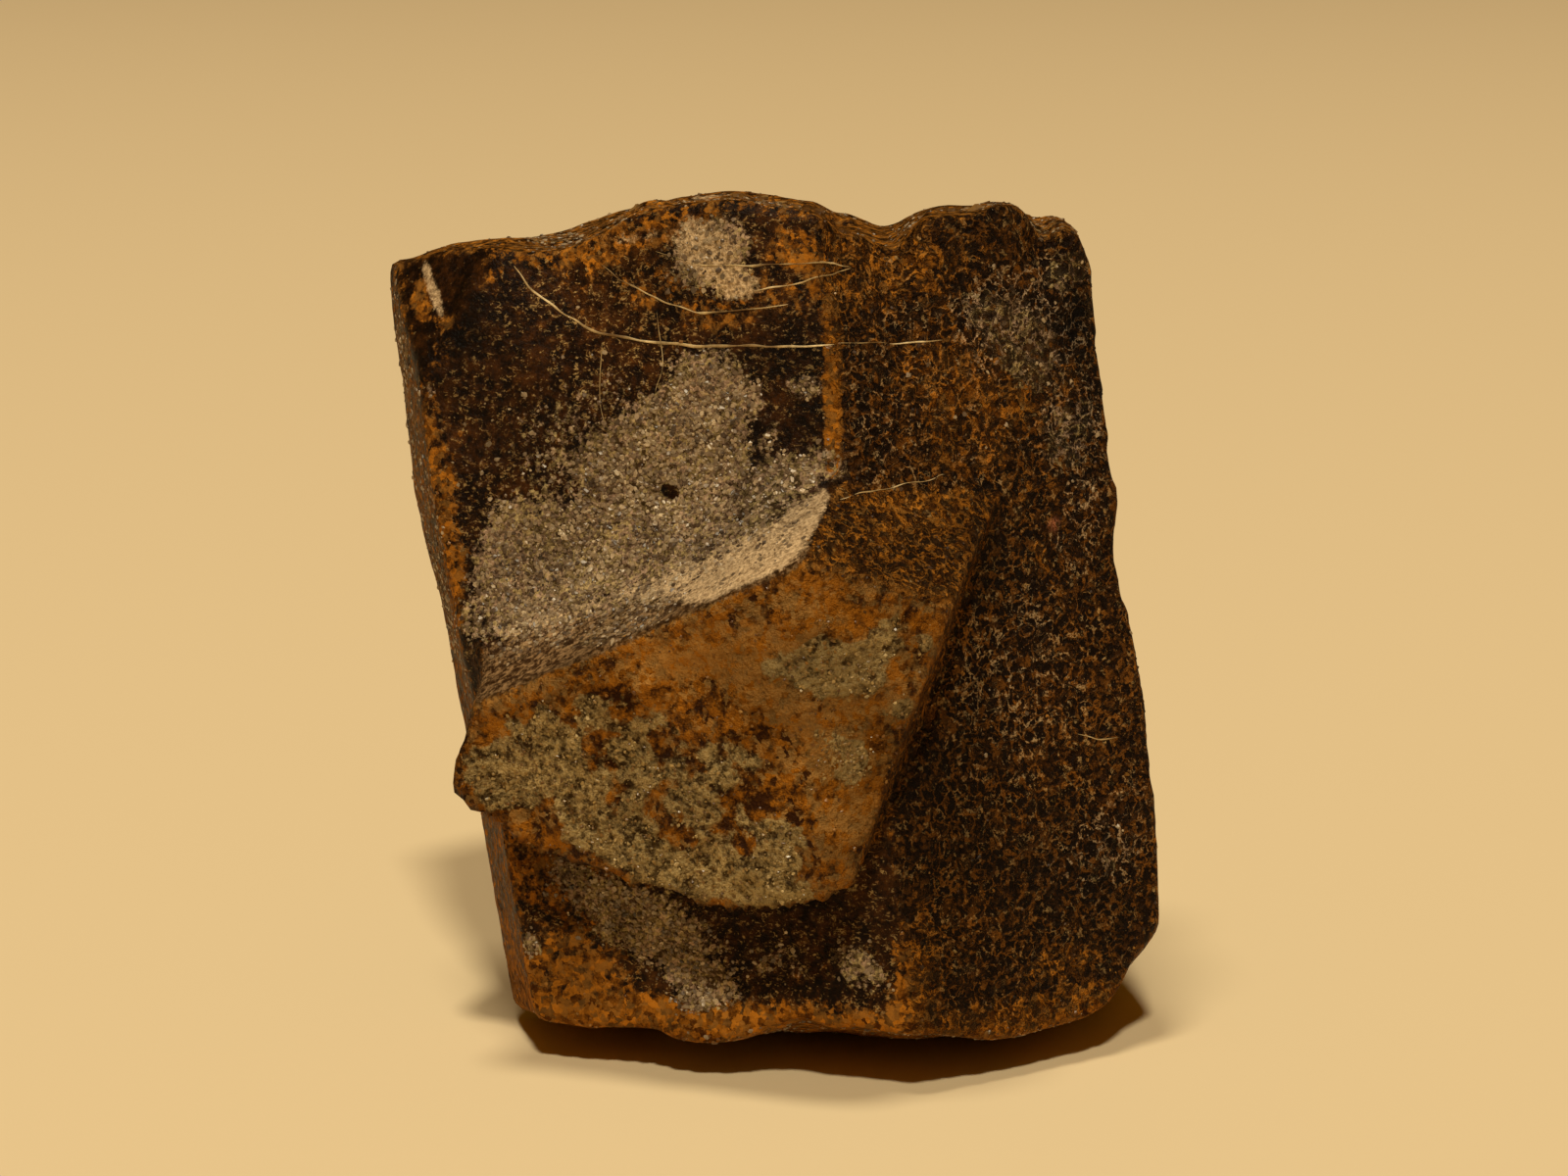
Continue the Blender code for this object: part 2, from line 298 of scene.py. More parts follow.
def quadNormals(points, quads):
    # point normals: the crossed diagonals of each quad, added up at its corners
    across = points[quads[:, 2]] - points[quads[:, 0]]
    down = points[quads[:, 3]] - points[quads[:, 1]]
    face = np.cross(across, down)
    return unit(np.stack([sum(np.bincount(quads[:, c], face[:, k], len(points)) for c in range(4))
                          for k in range(3)], axis=1))


def faceShares(points):
    # how much each crystal face owns each point, from 0 to 1
    shares = {}
    stout, crossing = outside(points, stoutPlanes), outside(points, crossingPlanes)
    further = (crossing.max(axis=1) - stout.max(axis=1)) / crystal["crossingBlend"]
    ofCrossing = 1.0 / (1.0 + np.exp(further))
    for values, names, owned in ((stout, crystal["stoutFaces"], 1.0 - ofCrossing),
                                 (crossing, crystal["crossingFaces"], ofCrossing)):
        strength = np.exp((values - values.max(axis=1)[:, None]) / crystal["faceBlend"])
        strength /= strength.sum(axis=1)[:, None]
        for column, name in enumerate(names):
            shares[name] = strength[:, column] * owned
    return shares


def edgeShare(points):
    # 1 on the worn outer edges of the crystals, where a point's two nearest faces are as near
    stout = np.sort(outside(points, stoutPlanes), axis=1)
    crossing = np.sort(outside(points, crossingPlanes), axis=1)
    ofStout = stout[:, -1] < crossing[:, -1]
    gap = np.where(ofStout, stout[:, -1] - stout[:, -2], crossing[:, -1] - crossing[:, -2])
    return np.exp(-((gap / crystal["edgeReach"]) ** 2))


def addObject(name, data):
    made = bpy.data.objects.new(name, data)
    bpy.context.scene.collection.objects.link(made)
    return made


def writeMesh(name, points, faces, smooth=True):
    mesh = bpy.data.meshes.new(name)
    mesh.from_pydata(np.asarray(points) * mm, [], faces.tolist())
    mesh.shade_smooth() if smooth else mesh.shade_flat()
    return addObject(name, mesh)


def writeStone(name, points, faces, smooth=True):
    return writeMesh(name, np.asarray(points) + crystal["centring"], faces, smooth)


def addAttribute(piece, name, values):
    attribute = piece.data.attributes.new(name, "FLOAT", "POINT")
    attribute.data.foreach_set("value", np.asarray(values, dtype=np.float32))


# Patches on the front: X and Z of the middle, reach along the patch and across it,
# slope in degrees, strength
patches = {
    "crust on the stout crystal": [
        (-2.9, 28.9, 2.5, 2.1, 0, 1.0), (-4.6, 26.0, 4.9, 3.2, 22, 1.0),
        (-8.6, 22.6, 4.2, 2.7, 33, 1.0), (-3.4, 23.7, 5.0, 1.8, 26, 1.0),
        (-10.9, 20.6, 2.2, 2.1, 40, 0.95), (0.2, 26.1, 2.7, 1.2, 20, 0.85),
        (-3.4, 30.6, 1.8, 1.0, 0, 0.7), (-11.2, 23.6, 1.3, 1.2, 40, 0.72),
        (-8.4, 26.2, 1.4, 1.0, 0, 0.62), (-2.7, 35.4, 1.9, 1.6, -25, 0.95),
        (-1.6, 34.1, 1.1, 0.9, 0, 0.85), (1.4, 30.1, 0.7, 0.6, 0, 0.75),
        (-12.6, 19.6, 1.4, 1.8, 0, 0.6), (-8.0, 27.0, 5.0, 4.0, 35, 0.42),
        (-5.4, 21.3, 3.4, 1.1, 28, 0.85), (-14.9, 29.1, 0.35, 0.3, 0, 0.8),
    ],
    "crust low down": [
        (-5.0, 6.4, 3.8, 1.7, -18, 0.8), (-3.2, 4.7, 2.2, 1.2, -25, 0.85),
        (-10.8, 5.3, 0.7, 0.6, 0, 0.9), (3.6, 5.6, 1.4, 0.8, -20, 0.7),
        (-8.0, 7.9, 2.0, 1.0, -30, 0.65), (-3.2, 3.6, 0.9, 0.5, 0, 0.95),
        (-12.0, 4.0, 0.8, 1.4, 0, 0.5), (0.0, 5.6, 2.6, 1.2, 0, 0.42),
    ],
    "crust on the right": [
        (10.9, 31.0, 2.8, 1.8, -40, 0.8), (14.8, 8.6, 1.3, 2.2, -30, 0.4),
        (13.0, 33.9, 1.2, 1.0, 0, 0.7), (13.2, 27.2, 1.3, 1.8, 0, 0.62),
    ],
    "grey network": [
        (7.5, 29.5, 4.5, 5.0, 0, 0.38), (11.0, 31.2, 3.2, 2.8, -40, 1.0),
        (13.0, 27.6, 1.8, 2.4, 0, 0.9), (10.6, 33.6, 2.6, 1.2, 0, 0.6),
        (13.6, 23.6, 1.2, 2.6, 0, 0.6), (14.4, 9.0, 1.6, 2.6, -30, 0.6),
        (10.5, 17.0, 3.0, 4.0, 0, 0.35),
    ],
    "crust on the broken end": [
        (-9.8, 14.0, 3.8, 2.7, -10, 0.8), (-4.9, 12.6, 5.2, 2.5, -10, 0.72),
        (-3.7, 10.4, 5.6, 1.6, -12, 0.88), (-7.6, 16.6, 3.6, 1.2, 0, 0.5),
        (-1.0, 14.6, 2.2, 2.0, 0, 0.46), (4.4, 18.6, 3.4, 3.0, 20, 0.68),
        (0.8, 11.6, 2.2, 1.3, 0, 0.58), (3.0, 15.4, 1.4, 1.2, 0, 0.62),
        (-11.4, 12.6, 1.2, 1.2, 0, 0.85),
    ],
    "rust on the broken end": [
        (-3.8, 18.6, 5.6, 1.2, 18, 0.92), (-0.4, 17.4, 2.9, 2.9, 0, 0.8),
        (3.6, 13.6, 2.4, 4.0, 0, 0.82), (0.0, 13.6, 2.4, 2.0, 0, 0.66),
        (2.0, 20.6, 2.2, 0.8, 25, 0.8), (-1.0, 9.7, 5.0, 0.6, -8, 0.85),
        (-10.6, 11.8, 2.6, 0.6, -25, 0.8), (-11.6, 17.2, 1.0, 0.7, 0, 0.8),
    ],
    "rust on the stout crystal": [
        (5.6, 34.6, 4.6, 2.4, 0, 0.6), (9.0, 29.0, 4.6, 5.0, 0, 0.6),
        (-9.0, 8.2, 4.0, 2.8, -30, 0.52), (-9.8, 35.1, 3.8, 0.7, 4, 0.52),
        (-4.8, 36.3, 2.8, 0.8, 14, 0.55), (6.2, 4.8, 1.3, 3.2, 0, 0.78),
        (-9.6, 4.4, 4.0, 2.2, 0, 0.62), (-13.9, 31.9, 0.8, 0.45, 0, 0.74),
        (-15.3, 32.7, 0.5, 1.2, 0, 0.62), (11.9, 21.8, 0.3, 0.9, 25, 0.85),
        (6.6, 31.3, 1.5, 1.2, 0, 0.55), (7.6, 28.0, 1.3, 3.4, 0, 0.7),
        (-7.4, 35.0, 0.8, 1.1, 0, 0.48), (1.0, 35.6, 1.6, 1.0, 0, 0.6),
        (-14.2, 23.0, 0.9, 6.0, 7, 0.6), (12.8, 4.6, 1.8, 0.9, 0, 0.62),
        (-3.0, 33.6, 6.0, 1.6, 0, 0.42),
    ],
    # dark bare stone, and painted shade in a pit, in the chip at the top left, under the crossing
    # crystal and beside its right flank
    "dark stone and painted shade": [
        (1.3, 28.2, 0.9, 1.2, 0, 0.55), (0.2, 30.9, 1.6, 0.5, 0, 0.6),
        (-4.3, 25.3, 0.34, 0.24, -20, 1.0), (13.4, 32.0, 0.8, 1.2, 0, 0.9),
        (13.4, 24.9, 0.6, 0.5, 0, 0.9), (-13.1, 32.6, 0.8, 1.5, -8, 1.0),
        (7.6, 13.0, 1.8, 7.0, -14, 0.4), (1.5, 7.6, 4.5, 1.0, 0, 0.3),
    ],
    "pink grain": [(12.4, 23.2, 0.3, 0.34, 0, 1.0)],
    # pale quartz; the first is the pale wall of the chip at the top left, partly its own colour and
    # partly painted highlight
    "pale quartz and painted highlight": [
        (-14.9, 33.3, 1.2, 0.34, -66, 0.66), (-2.7, 35.4, 1.7, 1.3, -25, 0.62),
        (-1.5, 34.1, 1.0, 0.8, 0, 0.7), (-5.6, 36.0, 1.2, 0.5, 10, 0.4),
    ],
    "light on the broken end": [
        (-3.4, 18.9, 2.6, 0.7, 18, 1.0), (-0.6, 19.6, 2.0, 1.6, 0, 0.9),
        (2.4, 17.0, 2.0, 2.6, 0, 0.7), (4.6, 18.6, 2.0, 1.6, 0, 0.7),
        (4.0, 11.6, 1.2, 2.6, 10, 0.9), (-10.0, 17.4, 1.8, 0.7, 10, 0.7),
        (0.0, 9.4, 4.0, 0.5, -8, 0.9),
    ],
    "dark on the broken end": [
        (-6.5, 14.0, 6.0, 4.2, -10, 0.55), (-1.0, 11.0, 4.5, 1.6, 0, 0.45),
        (-6.6, 17.2, 2.4, 0.7, 12, 1.0), (-2.8, 15.4, 2.4, 1.4, -40, 0.9),
        (-0.4, 12.8, 2.0, 1.4, -20, 0.8), (6.2, 19.6, 0.7, 2.0, 0, 0.7),
        (-11.8, 14.8, 0.5, 1.6, 0, 0.7),
    ],
}

# Bands on the front: X and Z of the places along each, and how far it reaches at each place
bands = {
    "pale": ([(2.3, 25.3), (0.0, 23.7), (-2.2, 22.4), (-5.9, 21.2), (-9.3, 19.9), (-11.8, 19.0)],
             [0.55, 0.75, 0.75, 0.42, 0.5, 0.5]),
    "streaks": ([(1.8, 24.2), (-0.8, 22.7), (-3.5, 21.0), (-7.0, 19.4), (-10.5, 18.3),
                 (-13.3, 17.0)], [0.45, 0.6, 0.9, 1.1, 1.0, 0.9]),
    "hollow": ([(-12.7, 19.6), (2.0, 25.8)], [2.2, 1.6]),
    "rust and painted highlight on the front edge": ([(2.7, 36.6), (2.65, 26.4)], [0.7, 0.5]),
    "rust above the broken end": ([(3.0, 21.7), (5.2, 21.4), (8.0, 20.2)], [0.5, 0.5, 0.4]),
}
patchEdge = {"height": 0.35, "size": 2.2, "fade": (-0.55, 0.6)}  # how ragged and how soft it is
hiddenFaces = ("back left prism", "back right prism", "right side", "under right", "under front",
               "under left", "left")

# Relief finer than the crystals' own. Each cover: how far it stands off, the height and size of
# its lumps, and a seed. Single spots: centre, reach and depth; a minus depth is a knob.
details = {
    "everywhere": (0.0, 0.03, 1.1, 81),
    "covers": {
        "coarse": (0.0, 0.075, 0.9, 85),
        "crust": (0.03, 0.045, 0.55, 89),
        "ends": (0.0, 0.11, 1.3, 93),
        "rust": (0.0, 0.03, 0.7, 97),
    },
    "streakHeight": 0.05, "streakSize": 0.3, "streakSlope": 25.0,
    "streakStretch": (0.35, 0.35, 1.0),
    "spots": [
        (-4.3, -8.0, 25.0, 0.26, 0.3), (-9.3, -7.7, 20.6, 0.16, 0.2), (-5.9, -9.6, 6.8, 0.4, 0.35),
        (2.9, 7.0, 35.2, 0.5, -0.45), (3.6, 6.6, 35.0, 0.35, -0.35), (12.0, -1.7, 35.4, 0.5, 0.35),
        (-3.6, -10.8, 2.5, 0.9, -0.3), (-1.0, -11.2, 2.4, 0.6, -0.15), (1.4, -12.0, 2.8, 0.8, 0.25),
        (-12.9, -9.8, 13.4, 0.6, -0.25), (7.0, -2.0, 36.4, 0.5, -0.25),
    ],
}


def patchShare(points, spots, seed):
    # the strongest patch at each point: 1 inside its ellipse, fading through a ragged edge to 0
    ragged = patchEdge["height"] * roughness(points, patchEdge["size"], seed)
    share = np.zeros(len(points))
    for x, z, reachAlong, reachAcross, slope, strength in spots:
        c, s = math.cos(math.radians(slope)), math.sin(math.radians(slope))
        along = (c * (points[:, 0] - x) + s * (points[:, 2] - z)) / reachAlong
        across = (c * (points[:, 2] - z) - s * (points[:, 0] - x)) / reachAcross
        inside = 1.0 - np.hypot(along, across) + ragged
        share = np.maximum(share, strength * smoothStep(*patchEdge["fade"], inside))
    return share


def bandShare(points, band):
    # 1 along a bent line in X and Z, falling to nearly 0 at twice its reach
    corners, reaches = np.array(band[0]), band[1]
    best = np.zeros(len(points))
    for start, end, reachA, reachB in zip(corners[:-1], corners[1:], reaches[:-1], reaches[1:]):
        flat = points[:, [0, 2]] - start
        share = np.clip(flat @ (end - start) / ((end - start) @ (end - start)), 0.0, 1.0)
        away = np.linalg.norm(flat - share[:, None] * (end - start), axis=1)
        best = np.maximum(best, np.exp(-((away / (reachA + share * (reachB - reachA))) ** 2)))
    return best


def coverShares(points, normals):
    # how much of each cover lies on each point, from 0 to 1: patches and bands on the front,
    # and amounts that go with the faces elsewhere
    own = faceShares(points)
    front = smoothStep(0.1, -0.2, normals[:, 1])
    leftFront, rightFront = own["front left prism"], own["front right prism"]
    ends = own["broken end, left"] + own["broken end, right"]
    broken = sum(own[name] for name in own if name.startswith("broken")) - ends
    hidden = sum(own[name] for name in hiddenFaces)
    hollow = own["ridge side"] + leftFront * bandShare(points, bands["hollow"])
    patchy = 0.5 + 0.5 * roughness(points, 3.4, 71)
    edges = edgeShare(points)

    def patch(name, seed):
        return patchShare(points, patches[name], seed)

    crust = np.max([
        patch("crust on the stout crystal", 31) * np.clip(leftFront + hollow, 0, 1),
        patch("crust low down", 35) * (leftFront + rightFront),
        patch("crust on the right", 39) * rightFront,
        patch("crust on the broken end", 43) * ends,
        np.clip(broken * (0.1 + 0.4 * patchy)
                + hidden * smoothStep(0.55, 0.95, patchy) * 0.8, 0, 1),
        own["left side"] * smoothStep(11.0, 19.0, points[:, 2]) * (0.2 + 0.35 * patchy),
    ], axis=0)
    rust = np.max([
        0.4 * ends + 0.75 * (own["upper right"] + own["right flank"])
        + 0.5 * (own["left side"] + broken) + 0.2 * rightFront + 0.16 * leftFront + 0.34 * hidden,
        patch("rust on the broken end", 47) * ends,
        patch("rust on the stout crystal", 51) * front * (1 - ends),
        # rust and a painted orange highlight down the front edge
        0.9 * bandShare(points, bands["rust and painted highlight on the front edge"]) * (leftFront + rightFront),
        0.9 * bandShare(points, bands["rust above the broken end"]) * front,
        # rust and a painted orange glow along the foot
        0.78 * smoothStep(4.4, 3.0, points[:, 2]) * front,
        # rust and a painted orange highlight on the outer edges
        (0.28 + 0.35 * patchy) * edges,
    ], axis=0)
    # dark bare stone and painted shade: it keeps crust and rust off and darkens the colour
    bare = patch("dark stone and painted shade", 55) * front
    clumpy = 0.5 + 0.3 * roughness(points, 1.9, 73, 4)
    pale = bandShare(points, bands["pale"]) * np.clip(hollow + 0.3 * leftFront, 0, 1)
    pale *= 0.45 + 0.55 * smoothStep(-7.0, -1.5, points[:, 0])
    smooth = leftFront + own["left side"] + 0.6 * own["back left prism"]
    streaked = np.clip(own["ridge side"] * 1.4 + 0.3 * ends, 0, 1)
    return {
        "crust": crust * (1 - bare),
        "rust": np.clip(rust * (1 - 0.7 * bare), 0, 1),
        "pale": np.clip(np.maximum(pale, patch("pale quartz and painted highlight", 63) * front), 0, 1),
        "streaks": bandShare(points, bands["streaks"]) * streaked,
        "flecks": np.clip(smooth, 0, 1) * (0.35 + 0.65 * patchy),
        "coarse": np.clip(rightFront + own["upper right"] + own["right flank"] + hidden, 0, 1),
        "bare": bare,
        "ends": ends,
        "grey": patch("grey network", 58) * rightFront,
        "clumps": smoothStep(0.40, 0.60, clumpy + 0.75 * (crust - 0.5)) * ends,
        "lighter": patch("light on the broken end", 75) - patch("dark on the broken end", 79),
        "pinkGrain": patch("pink grain", 59) * front,
        "tone": 0.5 + 0.5 * roughness(points, 4.5, 67),
        "edges": edges,
    }


def tilted(degrees):
    # turns points about Y, so that a slope in the X and Z plane lies flat
    c, s = math.cos(math.radians(degrees)), math.sin(math.radians(degrees))
    return np.array(((c, 0.0, -s), (0.0, 1.0, 0.0), (s, 0.0, c)))


def fineHeight(points, cover):
    # what stands off the surface, in millimetres: each cover's share times its lumps, streaks,
    # and bell-shaped pits and knobs
    stand, tall, size, seed = details["everywhere"]
    height = stand + tall * roughness(points, size, seed)
    for name, (stand, tall, size, seed) in details["covers"].items():
        height += cover[name] * (stand + tall * roughness(points, size, seed))
    drawn = points * details["streakStretch"] @ tilted(details["streakSlope"])
    streaks = lumps(drawn, details["streakSize"], 101)
    height += cover["streaks"] * details["streakHeight"] * streaks
    for x, y, z, reach, depth in details["spots"]:
        away = (points - (x, y, z)) / reach
        height -= depth * np.exp(-(away**2).sum(axis=1))
    return height


def makeCrystal():
    directions, quads = cubeGrid(crystal["rows"])
    points = evenOut(castOut(directions), quads, crystal["evening"])
    points = settle(points, 3)
    normals = quadNormals(points, quads)
    cover = coverShares(points, normals)
    points = points + normals * fineHeight(points, cover)[:, None]
    points[:, 2] = np.maximum(points[:, 2], 0.0)  # the face it stands on is flat
    piece = writeStone("crystal", points, quads)
    for name, values in cover.items():
        addAttribute(piece, name, values)
    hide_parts(node)
    print("crystal:", len(points), "points,", 2 * len(quads), "triangles")
    return piece, points, quads, quadNormals(points, quads), cover


# Colours are linear. A pair is the darker and the lighter end of one mineral's range.
look = {
    "bare": ((0.0045, 0.0013, 0.0003), (0.062, 0.0200, 0.0030)),
    "fleck": ((0.12, 0.050, 0.009), (0.50, 0.34, 0.14)),
    # near-black of the pits: dark stone and painted shade
    "darkAndShadedPit": (0.0064, 0.0021, 0.0005),
    "mass": ((0.018, 0.0058, 0.0008), (0.165, 0.0600, 0.0068)),
    "orangeRim": (0.33, 0.125, 0.010),
    "oliveRim": (0.21, 0.128, 0.024),
    "creamRim": (0.44, 0.29, 0.120),
    "greyRim": (0.60, 0.455, 0.320),
    "rust": ((0.062, 0.0180, 0.0010), (0.52, 0.190, 0.015)),
    "oliveStain": (0.180, 0.095, 0.025),
    "crust": ((0.048, 0.027, 0.012), (0.54, 0.395, 0.237)),
    "crustTint": ((0.96, 0.80, 1.00), (0.90, 0.92, 0.45)),
    "endBrown": ((0.034, 0.0090, 0.0005), (0.40, 0.142, 0.009)),
    "endTan": (0.42, 0.235, 0.070),
    "clump": ((0.036, 0.018, 0.0035), (0.47, 0.340, 0.145)),
    "pale": ((0.25, 0.155, 0.076), (0.78, 0.57, 0.345)),
    "streak": ((0.030, 0.012, 0.003), (0.30, 0.180, 0.084)),
    "pink": (0.42, 0.15, 0.075),
    "polish": 0.45,
    "dull": 0.9,
    "specular": 0.09,
    "toneDark": 0.64,  # broad areas differ in brightness from this
    "toneLight": 1.34,  # to this
}
# A noise has its waves to a millimetre, detail and roughness, and grains are so many to a
# millimetre. Pits have the fewest and the most; threads have waves, width and bend.
texture = {
    "broad": (0.5, 2.0), "middle": (1.7, 4.0, 0.65), "grainy": (3.2, 4.0, 0.75), "fine": (7.0, 2.0),
    "tan": (0.9, 4.0, 0.65), "tint": (0.35, 2.0), "streak": (4.2, 4.0, 0.80),
    "softWobble": 1.0, "sharpWobble": 6.0, "chips": 4.6, "body": 3.6, "crust": 6.4, "specks": 12.0,
    "pits": (1.25, 1.9), "flecks": (2.9, 0.055, 0.5), "curls": (2.2, 0.040, 0.8),
    "flecksStretch": (0.75, 0.75, 1.25), "streakStretch": (0.42, 0.8, 1.35), "streakSlope": 25.0,
}


def newMaterial(name, roughness, specular):
    material = bpy.data.materials.new(name)
    material.use_nodes = True
    tree = material.node_tree
    shader = tree.nodes["Principled BSDF"]
    shader.inputs["Roughness"].default_value = roughness
    shader.inputs["Specular IOR Level"].default_value = specular
    return material, tree, shader


def addNode(tree, kind, inputs, **settings):
    # each input is a fixed value or the socket of another node
    made = tree.nodes.new("ShaderNode" + kind)
    for key, value in settings.items():
        setattr(made, key, value)
    for key, value in inputs.items():
        if isinstance(value, bpy.types.NodeSocket):
            tree.links.new(value, made.inputs[key])
        else:
            made.inputs[key].default_value = value
    return made


def treeOf(values):
    # the node tree that the first socket among the values is in
    return next(value.id_data for value in values if isinstance(value, bpy.types.NodeSocket))


def calculate(operation, *values):
    inputs = dict(enumerate(values))
    return addNode(treeOf(values), "Math", inputs, operation=operation).outputs[0]


def vectorMath(operation, *values, **named):
    inputs = {**dict(enumerate(values)), **named}
    return addNode(treeOf(inputs.values()), "VectorMath", inputs, operation=operation).outputs[0]


def times(*values):
    return functools.reduce(lambda product, value: calculate("MULTIPLY", product, value), values)


def plus(*values):
    return functools.reduce(lambda total, value: calculate("ADD", total, value), values)


def without(value):
    return calculate("SUBTRACT", 1.0, value)


def weigh(*pairs):
    # a value, its weight, the next value, its weight and so on: the sum of the products
    total = calculate("MULTIPLY", *pairs[:2])
    for value, weight in zip(pairs[2::2], pairs[3::2]):
        total = calculate("MULTIPLY_ADD", value, weight, total)
    return total


def asColour(value):
    return value if isinstance(value, bpy.types.NodeSocket) else (*value, 1.0)


def blend(share, low, high, way="MIX"):
    # the low colour where the share is 0, and the high one where it is 1
    inputs = {0: share, 6: asColour(low), 7: asColour(high)}
    made = addNode(treeOf((share, low, high)), "Mix", inputs, data_type="RGBA", blend_type=way)
    return made.outputs[2]


def between(value, low, high, start=0.0, end=1.0, kind="SMOOTHSTEP"):
    # goes from start to end as the value goes from low to high
    inputs = {"Value": value, "From Min": low, "From Max": high, "To Min": start, "To Max": end}
    return addNode(value.id_data, "MapRange", inputs, interpolation_type=kind).outputs[0]


def shaded(name, low, high, *pairs):
    # one mineral's colour, from its darker to its lighter end as the weighed noises grow
    return blend(between(weigh(*pairs), low, high), *look[name])


def spread(share, noise, soft, reach):
    # breaks a share up into ragged spots whose number grows with it
    lift = calculate("MULTIPLY_ADD", share, reach, -reach / 2)
    return between(plus(noise, lift), 0.5 - soft, 0.5 + soft)


def attributeAt(tree, name):
    return addNode(tree, "Attribute", {}, attribute_name=name).outputs["Fac"]


def surfacePlace(tree, stretch=(1, 1, 1), turn=0.0):
    # the object's own coordinates in millimetres, turned about Y and then stretched
    place = addNode(tree, "TexCoord", {}).outputs["Object"]
    angles = (0.0, math.radians(turn), 0.0)
    turned = addNode(tree, "Mapping", {"Vector": place, "Rotation": angles}).outputs[0]
    scale = tuple(factor / mm for factor in stretch)
    return addNode(tree, "Mapping", {"Vector": turned, "Scale": scale}).outputs[0]


def noiseAt(where, scale, detail, rough=0.6, bend=0.0):
    inputs = {"Vector": where, "Scale": scale, "Detail": detail, "Roughness": rough,
              "Distortion": bend}
    return addNode(where.id_data, "TexNoise", inputs).outputs[0]


def threadsAt(where, scale, width, bend):
    # thin curling lines where a noise passes through its middle value
    noise = noiseAt(where, scale, 2.0, 0.6, bend)
    away = calculate("ABSOLUTE", calculate("SUBTRACT", noise, 0.5))
    return between(away, width, width * 0.2)


def wobbleAt(where, scale):
    # a direction and length that change softly from place to place
    noise = addNode(where.id_data, "TexNoise", {"Vector": where, "Scale": scale, "Detail": 1.0})
    return vectorMath("SUBTRACT", noise.outputs["Color"], (0.5, 0.5, 0.5))


def pushed(where, wobble, reach):
    # the same place, moved along a wobble
    return vectorMath("ADD", where, vectorMath("SCALE", wobble, Scale=reach))


def grainsAt(where, scale):
    # three random numbers for each grain, the distance from its middle, and its random colour
    grains = addNode(where.id_data, "TexVoronoi", {"Vector": where, "Scale": scale}).outputs
    numbers = addNode(where.id_data, "SeparateColor", {0: grains["Color"]}).outputs
    return numbers, grains["Distance"], grains["Color"]


def bordersAt(where, scale):
    # distance from the border between two grains
    made = addNode(where.id_data, "TexVoronoi", {"Vector": where, "Scale": scale},
                   feature="DISTANCE_TO_EDGE")
    return made.outputs["Distance"]


